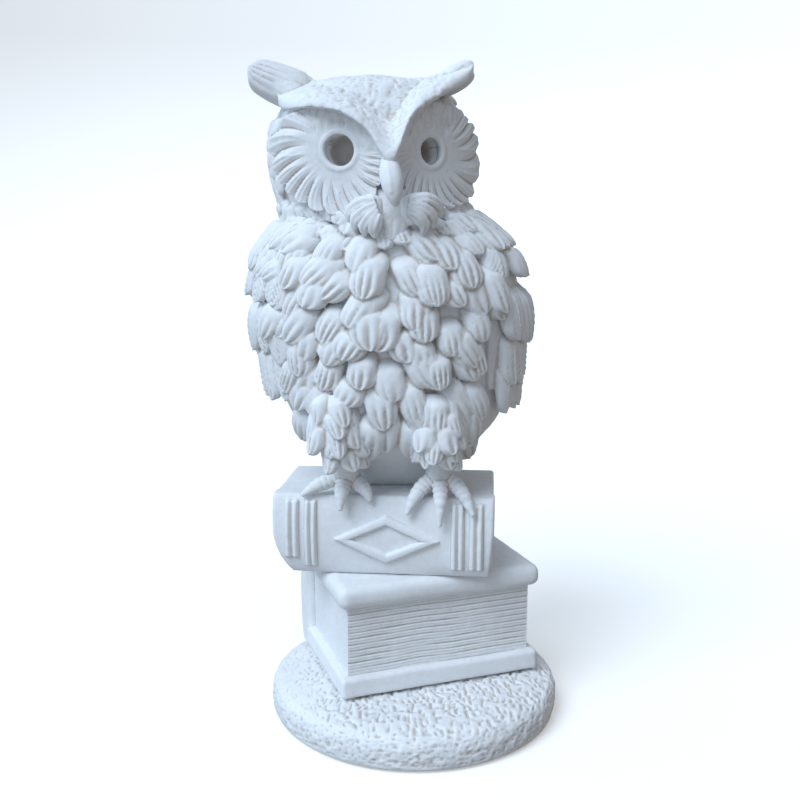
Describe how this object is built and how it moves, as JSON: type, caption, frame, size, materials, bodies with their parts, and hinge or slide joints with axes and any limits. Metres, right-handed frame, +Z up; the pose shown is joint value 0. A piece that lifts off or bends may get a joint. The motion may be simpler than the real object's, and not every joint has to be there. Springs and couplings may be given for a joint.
{
  "type": "owl figurine",
  "caption": "Plaster figurine of a horned owl with open eye sockets, perched on two stacked closed books on a thick round plinth",
  "frame": {"origin": "centre of the flat underside of the round plinth", "axes": "+Z up from the plinth to the owl's head, -Y the side the owl and the upper book's spine face, +X the viewer's right from the front"},
  "size_m": [0.1197, 0.112, 0.2387],
  "materials": {
    "plaster": "bare matte cast plaster"
  },
  "bodies": {
    "root": {"base_plinth": "plaster", "beak": "plaster", "breast_row_1": "plaster", "breast_row_2": "plaster", "breast_row_3": "plaster", "breast_row_4": "plaster", "breast_row_5": "plaster", "breast_row_6": "plaster", "breast_row_7": "plaster", "brow_tuft_l": "plaster", "brow_tuft_r": "plaster", "chin_bib": "plaster", "chin_lobe_l": "plaster", "chin_lobe_r": "plaster", "facial_disc_l": "plaster", "facial_disc_r": "plaster", "foot_l": "plaster", "foot_r": "plaster", "forehead": "plaster", "lower_book_bottom_board": "plaster", "lower_book_page_block": "plaster", "lower_book_spine": "plaster", "lower_book_top_board": "plaster", "mantle_row_1": "plaster", "mantle_row_2": "plaster", "mantle_row_3": "plaster", "nape_ruff": "plaster", "neck_ruff_l": "plaster", "neck_ruff_r": "plaster", "skull": "plaster", "tail": "plaster", "thigh_l": "plaster", "thigh_r": "plaster", "toe_l_1": "plaster", "toe_l_2": "plaster", "toe_l_3": "plaster", "toe_r_1": "plaster", "toe_r_2": "plaster", "toe_r_3": "plaster", "torso": "plaster", "upper_book_band_1": "plaster", "upper_book_band_2": "plaster", "upper_book_band_3": "plaster", "upper_book_band_4": "plaster", "upper_book_bottom_board": "plaster", "upper_book_diamond": "plaster", "upper_book_page_block": "plaster", "upper_book_spine": "plaster", "upper_book_top_board": "plaster", "wing_tier_l_1": "plaster", "wing_tier_l_2": "plaster", "wing_tier_l_3": "plaster", "wing_tier_l_4": "plaster", "wing_tier_r_1": "plaster", "wing_tier_r_2": "plaster", "wing_tier_r_3": "plaster", "wing_tier_r_4": "plaster", "wing_tip_l": "plaster", "wing_tip_r": "plaster"}
  },
  "joints": []
}
